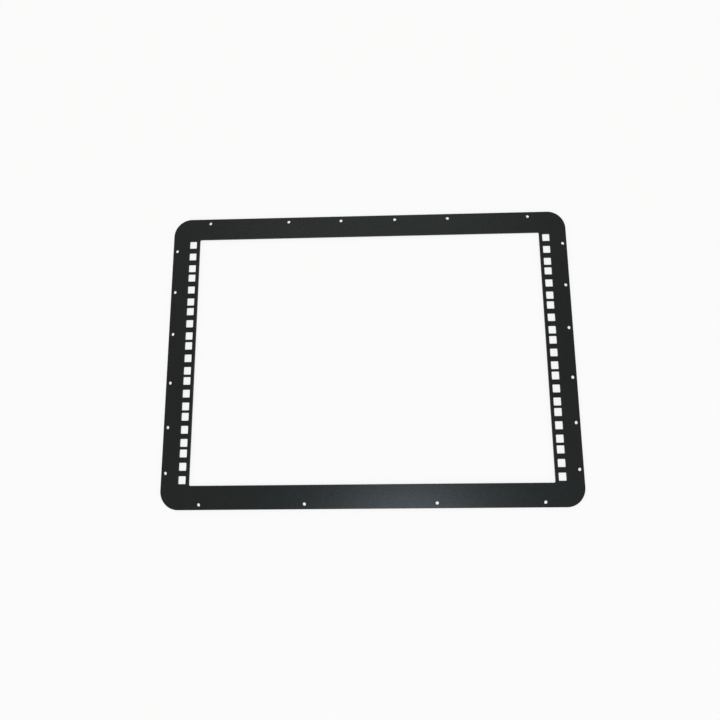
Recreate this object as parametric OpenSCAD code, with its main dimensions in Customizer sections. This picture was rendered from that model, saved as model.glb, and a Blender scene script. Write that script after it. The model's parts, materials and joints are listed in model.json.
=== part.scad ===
// Rack frame for seven units of 19 inch equipment: one flat plate of powder-coated steel.
// It has a rectangular opening for the equipment, a column of square cage-nut holes on each
// side of the opening, and small round holes round the rim that fasten it to its cabinet.
// The plate lies on its back face, with the show face up and the top bar towards +Y.
// Lengths are in millimetres.

/* [Rack pattern] */
// Number of rack units that the opening takes
rack_units = 7; // [3:1:12]
// Height of one rack unit
unit_h = 44.45; // [42:0.05:50]
// Distance between the three holes of one unit
hole_pitch = 15.875; // [12:0.125:16.5]
// Distance between the centre lines of the two columns
column_spacing = 465.12; // [300:0.01:620]
// Side of a square cage-nut hole
square_hole = 9.5; // [7.5:0.1:11.5]
// Corner radius of a square hole
square_hole_r = 0.8; // [0.2:0.1:2]

/* [Plate] */
// Thickness of the plate
plate_t = 3; // [1.5:0.5:6]
// From the centre line of a column to the side edge of the plate
column_to_edge = 26; // [21:0.5:45]
// Height of the top bar and of the bottom bar
bar_h = 28; // [22:0.5:45]
// Radius of the plate's outer corners
corner_r = 23; // [4:1:30]

/* [Opening] */
// Width of the strip between the square holes and the opening
strip_w = 4; // [2:0.5:8]
// Clearance at each end of the opening, past the outermost unit
opening_gap = 0.5; // [0:0.1:2]
// Radius of the opening's corners
opening_r = 1.5; // [0.5:0.5:3]

/* [Rim holes] */
// Diameter of a rim hole
rim_hole_d = 4; // [3:0.1:5.5]
// From a side edge to the centres of the side holes
side_inset = 4.8; // [4:0.1:8]
// From the top or bottom edge to the centres of that edge's holes
end_inset = 5.8; // [4:0.1:8]
// From a side edge to the outermost holes of the top and bottom rows
end_hole_setback = 48; // [36:1:60]
// From the plate's centre to the innermost holes of the top row
top_hole_start = 35.7; // [20:0.1:60]
// Distance from those to the next holes of the top row
top_hole_pitch = 69.7; // [50:0.1:90]
// From the plate's centre to the inner holes of the bottom row
bottom_hole_start = 80.6; // [30:0.1:120]
// From the plate's centre to the first hole of each side row
side_hole_start = 31; // [20:0.5:45]
// Distance between the holes of a side row
side_hole_pitch = 55; // [35:0.5:80]
// Least distance from a corner of the plate to the last hole of a side row
side_hole_setback = 36; // [34:1:60]

/* [Hidden] */

// The coating's colour
satin_black = [0.15, 0.16, 0.16];

// Facets of a small circle and of an outer corner
hole_fn = 48;
corner_fn = 96;

// How far a cut runs past both faces of the plate
cut_past = 1;

// The units fill field_h, and the opening and the plate follow from it
field_h = rack_units * unit_h;
opening_w = column_spacing - square_hole - 2 * strip_w;
opening_h = field_h + 2 * opening_gap;
plate_w = column_spacing + 2 * column_to_edge;
plate_h = opening_h + 2 * bar_h;

// Heights of the square holes, from the plate's centre: one in the middle of each unit,
// and one above and one below it
square_rows = [for (unit = [0 : rack_units - 1], hole = [-1 : 1])
    (unit + 0.5) * unit_h + hole * hole_pitch - field_h / 2];

// Places of the rim holes, each one mirrored to the other side of the plate
end_hole_x = plate_w / 2 - end_hole_setback;
end_hole_y = plate_h / 2 - end_inset;
side_hole_x = plate_w / 2 - side_inset;
side_hole_top = plate_h / 2 - side_hole_setback;
top_row = [top_hole_start, top_hole_start + top_hole_pitch, end_hole_x];
bottom_row = [bottom_hole_start, end_hole_x];
side_row = [side_hole_start : side_hole_pitch : side_hole_top];

// A flat rectangle with round corners, centred on the origin
module rounded_rectangle(w, h, r, fn) {
    square([w - 2 * r, h], center = true);
    square([w, h - 2 * r], center = true);
    for (x = [-1, 1], y = [-1, 1])
        translate([x * (w / 2 - r), y * (h / 2 - r)]) circle(r = r, $fn = fn);
}

// Both columns of square holes
module cage_nut_holes() {
    for (x = [-1, 1], y = square_rows)
        translate([x * column_spacing / 2, y])
            rounded_rectangle(square_hole, square_hole, square_hole_r, hole_fn);
}

// The round holes of the rim
module rim_holes() {
    for (side = [-1, 1]) {
        for (x = top_row) translate([side * x, end_hole_y]) circle(d = rim_hole_d, $fn = hole_fn);
        for (x = bottom_row) translate([side * x, -end_hole_y]) circle(d = rim_hole_d, $fn = hole_fn);
        for (y = side_row, end = [-1, 1])
            translate([side * side_hole_x, end * y]) circle(d = rim_hole_d, $fn = hole_fn);
    }
}

// The whole frame: a plate with all its openings cut through
module rack_frame_plate() {
    color(satin_black)
        difference() {
            linear_extrude(plate_t) rounded_rectangle(plate_w, plate_h, corner_r, corner_fn);
            translate([0, 0, -cut_past]) linear_extrude(plate_t + 2 * cut_past) {
                rounded_rectangle(opening_w, opening_h, opening_r, hole_fn);
                cage_nut_holes();
                rim_holes();
            }
        }
}

rack_frame_plate();
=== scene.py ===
"""The visual model of a 19 inch rack frame: a flat steel plate with a fine satin black powder coat.

Everything is in metres. The plate's size comes from the CAD frame, its rim holes from the record's
bolt patterns, and the rest from the rack pattern below.
"""
import json
import math

import bmesh
import bpy
from mathutils import Matrix, Vector


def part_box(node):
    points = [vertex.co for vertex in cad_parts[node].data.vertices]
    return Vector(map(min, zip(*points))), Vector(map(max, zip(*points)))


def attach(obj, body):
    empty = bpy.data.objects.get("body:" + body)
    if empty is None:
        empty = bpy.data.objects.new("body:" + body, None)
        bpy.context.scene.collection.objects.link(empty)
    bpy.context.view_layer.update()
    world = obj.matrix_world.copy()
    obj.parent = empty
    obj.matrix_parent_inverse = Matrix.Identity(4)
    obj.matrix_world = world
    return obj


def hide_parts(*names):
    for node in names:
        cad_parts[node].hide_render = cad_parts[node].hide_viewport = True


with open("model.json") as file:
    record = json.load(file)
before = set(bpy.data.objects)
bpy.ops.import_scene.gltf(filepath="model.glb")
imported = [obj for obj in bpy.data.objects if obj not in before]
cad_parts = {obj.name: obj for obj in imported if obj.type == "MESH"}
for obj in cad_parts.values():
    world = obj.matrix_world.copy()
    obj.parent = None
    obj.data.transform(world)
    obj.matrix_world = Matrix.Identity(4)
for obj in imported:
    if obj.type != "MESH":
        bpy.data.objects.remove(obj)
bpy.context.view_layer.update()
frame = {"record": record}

MM = 0.001
NODE = "rack_frame_plate"

# The rack pattern: three square holes in each unit of height, in two columns
UNIT_H = 44.45 * MM
HOLE_PITCH = 15.875 * MM
COLUMN_SPACING = 465.12 * MM
SQUARE_HOLE = 9.5 * MM
SQUARE_HOLE_R = 0.8 * MM

# The strips beside the opening, the bars above and below it, and the clearance at its two ends
STRIP_W = 4 * MM
BAR_H = 28 * MM
OPENING_GAP = 0.5 * MM

# The corner radius of the opening and of the plate
OPENING_R = 1.5 * MM
CORNER_R = 23 * MM

# The coat rounds every edge, a little more on the show face than on the back
SHOW_ROUND = 0.3 * MM
BACK_ROUND = 0.2 * MM
ROUND_STEPS = 5

# Steps per quarter turn: at an opening's corners, round a rim hole, and at the plate's corners
SMALL_ARC_STEPS = 8
RIM_ARC_STEPS = 12
CORNER_ARC_STEPS = 32

# The coat's colour, which drifts between two blacks, and its roughness on the faces and cut edges
COAT_BLACKS = ((0.0135, 0.0153, 0.0145), (0.0150, 0.0170, 0.0160))
FACE_ROUGHNESS = (0.26, 0.29)
EDGE_ROUGHNESS = 0.75

# The coat's patterns, in noise cells per metre: mottling, gloss, orange peel, grain and cut lines
MOTTLE_SCALE = 38
GLOSS_SCALE = 160
PEEL_SCALE = 650
GRAIN_SCALE = 3000
LINE_SCALE = 2600

# How much longer the cut lines are across the sheet than they are wide
LINE_STRETCH = 20

# Nearly all of a noise lies between these two values
NOISE_LOW, NOISE_HIGH = 0.3, 0.7

# The depth of the coat's bumps
PEEL_DEPTH = 0.055 * MM
GRAIN_DEPTH = 0.02 * MM
LINE_DEPTH = 0.06 * MM

# The floor: how far it reaches each way, the colour that it reflects and the light that it gives
FLOOR_REACH = 12
FLOOR_COLOUR = (0.2, 0.19, 0.185, 1)
FLOOR_GLOW = 0.83
WHITE = (1, 1, 1, 1)

# The studio: its brightness, and that of its ceiling, which fades in between two angles from overhead
STUDIO_STRENGTH = 0.95
CEILING_STRENGTH = 0.15
CEILING_FADE = (52, 28)

# The lights: the small one makes the highlight on the near bar, and the long one lights the far bar
CEILING_LIGHT = {"place": (0.067, -0.82, 2.0), "size": (0.2, 0.3), "watts": 5.6, "colour": (0.73, 0.89, 1.0)}
BACK_PANEL = {"place": (-0.08, 0.745, 2.0), "size": (1.35, 0.3), "watts": 1.0, "colour": (0.88, 1.0, 1.0)}

# The camera: its axis meets the show face at AIM, measured from the middle; angles are in degrees,
# and the lens and the sensor in millimetres
AIM = (15.3 * MM, 103.6 * MM)
AZIMUTH, ELEVATION, ROLL = 9.41, 78.49, -10.39
DISTANCE = 780.4 * MM
LENS = 30
SENSOR_W = 36
SHIFT = (-0.0278, -0.1181)
NEAR_CLIP = 10 * MM


# ---------------------------------------------------------------- outlines

def arc(centre, radius, start, turn, steps):
    """Points along an arc, each with the direction that leads away from its centre."""
    points = []
    for i in range(steps + 1):
        angle = start + turn * i / steps
        away = Vector((math.cos(angle), math.sin(angle)))
        points.append((Vector(centre) + radius * away, away))
    return points


def rounded_rectangle(centre, width, height, radius, steps):
    """The outline of a rectangle with round corners, counter-clockwise."""
    points = []
    for quarter, (x, y) in enumerate(((1, 1), (-1, 1), (-1, -1), (1, -1))):
        corner = (centre[0] + x * (width / 2 - radius), centre[1] + y * (height / 2 - radius))
        points += arc(corner, radius, quarter * math.pi / 2, math.pi / 2, steps)
    return points


def circle(centre, radius, steps):
    """The outline of a round hole, counter-clockwise."""
    return arc(centre, radius, 0, 2 * math.pi, 4 * steps)[:-1]


def rim_hole_places(mounts):
    """The centre and radius of every rim hole, from the record's bolt patterns."""
    places = []
    for mount in mounts:
        if mount["kind"] != "bolt_pattern":
            continue
        dims = mount["dims"]
        half_x = dims.get("spacing_x_mm", 0) * MM / 2
        half_y = dims.get("spacing_y_mm", 0) * MM / 2
        centres = {(x * half_x, y * half_y) for x in (-1, 1) for y in (-1, 1)}
        for x, y in sorted(centres):
            place = (mount["pos_m"][0] + x, mount["pos_m"][1] + y)
            places.append((place, dims["hole_r_mm"] * MM))
    return places


def square_hole_places(centre, units):
    """The centre of every square hole: three to a unit, in a column on each side of the opening."""
    places = []
    for side in (-1, 1):
        for unit in range(units):
            for hole in (-1, 0, 1):
                y = centre[1] + (unit + 0.5 - units / 2) * UNIT_H + hole * HOLE_PITCH
                places.append((centre[0] + side * COLUMN_SPACING / 2, y))
    return places


def plate_outlines(lo, hi, mounts):
    """The plate's outer outline, and the outlines of everything cut out of it."""
    width, height = hi.x - lo.x, hi.y - lo.y
    centre = ((lo.x + hi.x) / 2, (lo.y + hi.y) / 2)
    outer = rounded_rectangle(centre, width, height, CORNER_R, CORNER_ARC_STEPS)

    opening_w = COLUMN_SPACING - SQUARE_HOLE - 2 * STRIP_W
    opening_h = height - 2 * BAR_H
    cuts = [rounded_rectangle(centre, opening_w, opening_h, OPENING_R, SMALL_ARC_STEPS)]

    units = round((opening_h - 2 * OPENING_GAP) / UNIT_H)
    for place in square_hole_places(centre, units):
        cuts.append(rounded_rectangle(place, SQUARE_HOLE, SQUARE_HOLE, SQUARE_HOLE_R, SMALL_ARC_STEPS))
    for place, radius in rim_hole_places(mounts):
        cuts.append(circle(place, radius, RIM_ARC_STEPS))
    return outer, cuts


# ---------------------------------------------------------------- the plate's mesh

def edge_profile(bottom, top):
    """The section of an edge, from the back face round to the show face.

    Each point is its inset from the wall, its height, and the angle that its surface faces: 0 is
    sideways, a quarter turn is straight up, and minus a quarter turn is straight down.
    """
    profile = []
    for centre_z, radius, start in ((bottom + BACK_ROUND, BACK_ROUND, -math.pi / 2),
                                    (top - SHOW_ROUND, SHOW_ROUND, 0)):
        for step in range(ROUND_STEPS + 1):
            facing = start + math.pi / 2 * step / ROUND_STEPS
            inset = radius * (1 - math.cos(facing))
            profile.append((inset, centre_z + radius * math.sin(facing), facing))
    return profile


def add_wall(bm, outline, profile, into_material, normals, on_edge):
    """Sweeps the edge section along an outline. Returns the rings on the back and show faces.

    into_material is 1 where the metal lies outside the outline, and -1 where it lies inside. The
    first and last points of the section lie on the flat faces, and the rest count as edge.
    """
    rings = []
    last = len(profile) - 1
    for level, (inset, z, facing) in enumerate(profile):
        ring = []
        for point, away in outline:
            at = point + into_material * inset * away
            out = -into_material * away * math.cos(facing)
            ring.append(bm.verts.new((at.x, at.y, z)))
            normals.append(Vector((out.x, out.y, math.sin(facing))))
            on_edge.append(0.0 if level in (0, last) else 1.0)
        rings.append(ring)
    count = len(outline)
    for lower, upper in zip(rings, rings[1:]):
        for i in range(count):
            j = (i + 1) % count
            quad = (lower[i], lower[j], upper[j], upper[i])
            bm.faces.new(quad if into_material < 0 else quad[::-1])
    return rings[0], rings[-1]


def fill_face(bm, rings, up):
    """Closes one flat face of the plate between its outer ring and the rings of its cuts."""
    edges = []
    for ring in rings:
        for i, vert in enumerate(ring):
            edges.append(bm.edges.get((vert, ring[(i + 1) % len(ring)])))
    normal = Vector((0, 0, up))
    made = bmesh.ops.triangle_fill(bm, edges=edges, use_beauty=True, normal=normal)["geom"]
    for face in made:
        if isinstance(face, bmesh.types.BMFace) and face.normal.z * up < 0:
            face.normal_flip()


def make_plate(lo, hi, mounts):
    """The plate as one closed mesh with rounded edges and exact normals."""
    outer, cuts = plate_outlines(lo, hi, mounts)
    profile = edge_profile(lo.z, hi.z)
    bm = bmesh.new()
    normals, on_edge = [], []
    back_rings, show_rings = [], []
    for outline, into_material in [(outer, -1)] + [(cut, 1) for cut in cuts]:
        back, show = add_wall(bm, outline, profile, into_material, normals, on_edge)
        back_rings.append(back)
        show_rings.append(show)
    bm.normal_update()
    fill_face(bm, back_rings, -1)
    fill_face(bm, show_rings, 1)
    for face in bm.faces:
        face.smooth = True
    mesh = bpy.data.meshes.new("rack_frame_coated")
    bm.to_mesh(mesh)
    bm.free()
    edge = mesh.attributes.new("coat_edge", "FLOAT", "POINT")
    edge.data.foreach_set("value", on_edge)
    mesh.normals_split_custom_set_from_vertices(normals)
    plate = bpy.data.objects.new("rack_frame_coated", mesh)
    bpy.context.scene.collection.objects.link(plate)
    return plate


# ---------------------------------------------------------------- materials

def new_material(name):
    """A node material, with its tree and its shader."""
    material = bpy.data.materials.new(name)
    material.use_nodes = True
    tree = material.node_tree
    return material, tree, tree.nodes["Principled BSDF"]


def noise(tree, coords, scale, detail=2.0, roughness=0.5):
    """A noise texture over the given coordinates."""
    node = tree.nodes.new("ShaderNodeTexNoise")
    node.inputs["Scale"].default_value = scale
    node.inputs["Detail"].default_value = detail
    node.inputs["Roughness"].default_value = roughness
    tree.links.new(coords, node.inputs["Vector"])
    return node.outputs["Fac"]


def spread(tree, value, low, high):
    """Spreads a noise over the range from low to high."""
    node = tree.nodes.new("ShaderNodeMapRange")
    node.inputs["From Min"].default_value = NOISE_LOW
    node.inputs["From Max"].default_value = NOISE_HIGH
    node.inputs["To Min"].default_value = low
    node.inputs["To Max"].default_value = high
    tree.links.new(value, node.inputs["Value"])
    return node.outputs["Result"]


def bump(tree, height, distance, below=None):
    """A bump of the given depth, on top of another one."""
    node = tree.nodes.new("ShaderNodeBump")
    node.inputs["Distance"].default_value = distance
    tree.links.new(height, node.inputs["Height"])
    if below is not None:
        tree.links.new(below, node.inputs["Normal"])
    return node.outputs["Normal"]


def mix_colour(tree, factor, low, high):
    """A blend of two colours."""
    node = tree.nodes.new("ShaderNodeMix")
    node.data_type = "RGBA"
    node.inputs["A"].default_value = (*low, 1)
    node.inputs["B"].default_value = (*high, 1)
    tree.links.new(factor, node.inputs["Factor"])
    return node.outputs["Result"]


def mix_value(tree, factor, low, high):
    """A blend of two values: each is a socket or a number."""
    node = tree.nodes.new("ShaderNodeMix")
    tree.links.new(factor, node.inputs["Factor"])
    for name, value in (("A", low), ("B", high)):
        if isinstance(value, bpy.types.NodeSocket):
            tree.links.new(value, node.inputs[name])
        else:
            node.inputs[name].default_value = value
    return node.outputs["Result"]


def stretched(tree, coords, scale):
    """The coordinates, scaled by a different amount along each axis."""
    node = tree.nodes.new("ShaderNodeMapping")
    node.inputs["Scale"].default_value = scale
    tree.links.new(coords, node.inputs["Vector"])
    return node.outputs["Vector"]


def powder_coat():
    """Satin black powder coat: fine orange peel and faint mottling, and a matt coat on the cut edges."""
    material, tree, shader = new_material("satin_black_powder_coat")
    coords = tree.nodes.new("ShaderNodeTexCoord").outputs["Object"]
    edge = tree.nodes.new("ShaderNodeAttribute")
    edge.attribute_name = "coat_edge"
    on_edge = edge.outputs["Fac"]

    mottle = spread(tree, noise(tree, coords, MOTTLE_SCALE, detail=4, roughness=0.6), 0, 1)
    tree.links.new(mix_colour(tree, mottle, *COAT_BLACKS), shader.inputs["Base Color"])

    gloss = spread(tree, noise(tree, coords, GLOSS_SCALE, detail=3), *FACE_ROUGHNESS)
    tree.links.new(mix_value(tree, on_edge, gloss, EDGE_ROUGHNESS), shader.inputs["Roughness"])

    peel = bump(tree, noise(tree, coords, PEEL_SCALE), PEEL_DEPTH)
    grain = bump(tree, noise(tree, coords, GRAIN_SCALE, detail=1), GRAIN_DEPTH, peel)
    across_sheet = stretched(tree, coords, (1, 1, 1 / LINE_STRETCH))
    no_lines = (NOISE_LOW + NOISE_HIGH) / 2
    lines = mix_value(tree, on_edge, no_lines, noise(tree, across_sheet, LINE_SCALE))
    tree.links.new(bump(tree, lines, LINE_DEPTH, grain), shader.inputs["Normal"])
    return material


def white_floor():
    """The floor's white, which gives light of its own, so it stays evenly lit like a studio sweep."""
    material, tree, shader = new_material("white_sweep")
    shader.inputs["Base Color"].default_value = FLOOR_COLOUR
    shader.inputs["Roughness"].default_value = 1
    shader.inputs["Specular IOR Level"].default_value = 0
    shader.inputs["Emission Color"].default_value = WHITE
    shader.inputs["Emission Strength"].default_value = FLOOR_GLOW
    return material


# ---------------------------------------------------------------- stage, light and camera

def add_floor(z):
    """A wide plain floor, which the plate lies on."""
    mesh = bpy.data.meshes.new("floor")
    corners = [(x * FLOOR_REACH, y * FLOOR_REACH, z) for x, y in ((-1, -1), (1, -1), (1, 1), (-1, 1))]
    mesh.from_pydata(corners, [], [(0, 1, 2, 3)])
    floor = bpy.data.objects.new("floor", mesh)
    bpy.context.scene.collection.objects.link(floor)
    floor.data.materials.append(white_floor())


def add_world():
    """A bright studio all round, with a darker ceiling above the plate."""
    world = bpy.data.worlds.new("studio")
    world.use_nodes = True
    bpy.context.scene.world = world
    tree = world.node_tree
    coords = tree.nodes.new("ShaderNodeTexCoord").outputs["Generated"]
    split = tree.nodes.new("ShaderNodeSeparateXYZ")
    tree.links.new(coords, split.inputs["Vector"])
    ceiling = tree.nodes.new("ShaderNodeMapRange")
    ceiling.interpolation_type = "SMOOTHSTEP"
    fade_start, fade_end = (math.cos(math.radians(angle)) for angle in CEILING_FADE)
    ceiling.inputs["From Min"].default_value = fade_start
    ceiling.inputs["From Max"].default_value = fade_end
    ceiling.inputs["To Min"].default_value = STUDIO_STRENGTH
    ceiling.inputs["To Max"].default_value = CEILING_STRENGTH
    tree.links.new(split.outputs["Z"], ceiling.inputs["Value"])
    background = tree.nodes["Background"]
    background.inputs["Color"].default_value = WHITE
    tree.links.new(ceiling.outputs["Result"], background.inputs["Strength"])


def add_light(name, target, place, size, watts, colour):
    """A soft rectangular light, turned towards a point."""
    data = bpy.data.lights.new(name, "AREA")
    data.shape = "RECTANGLE"
    data.size, data.size_y = size
    data.energy = watts
    data.color = colour
    light = bpy.data.objects.new(name, data)
    light.location = place
    light.rotation_euler = (Vector(target) - Vector(place)).to_track_quat("-Z", "Y").to_euler()
    bpy.context.scene.collection.objects.link(light)


def add_camera(centre):
    """The camera, high over the plate's near bar and turned a little."""
    data = bpy.data.cameras.new("camera")
    data.lens = LENS
    data.sensor_width = SENSOR_W
    data.shift_x, data.shift_y = SHIFT
    data.clip_start = NEAR_CLIP
    azimuth, elevation = math.radians(AZIMUTH), math.radians(ELEVATION)
    back = Vector((math.sin(azimuth) * math.cos(elevation),
                   -math.cos(azimuth) * math.cos(elevation),
                   math.sin(elevation)))
    place = centre + Vector((*AIM, 0)) + back * DISTANCE
    turn = (-back).to_track_quat("-Z", "Y").to_matrix().to_4x4()
    roll = Matrix.Rotation(math.radians(ROLL), 4, "Z")
    camera = bpy.data.objects.new("camera", data)
    camera.matrix_world = Matrix.Translation(place) @ turn @ roll
    bpy.context.scene.collection.objects.link(camera)
    bpy.context.scene.camera = camera


# ---------------------------------------------------------------- the scene

plate_lo, plate_hi = (Vector(corner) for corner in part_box(NODE))
plate = make_plate(plate_lo, plate_hi, frame["record"]["mounts"])
plate.data.materials.append(powder_coat())
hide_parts(NODE)
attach(plate, "root")

show_centre = Vector(((plate_lo.x + plate_hi.x) / 2, (plate_lo.y + plate_hi.y) / 2, plate_hi.z))
add_floor(plate_lo.z)
add_world()
add_light("ceiling_light", show_centre, **CEILING_LIGHT)
add_light("back_panel", show_centre, **BACK_PANEL)
add_camera(show_centre)

bpy.context.scene.view_settings.view_transform = "Standard"
bpy.context.scene.view_settings.look = "None"
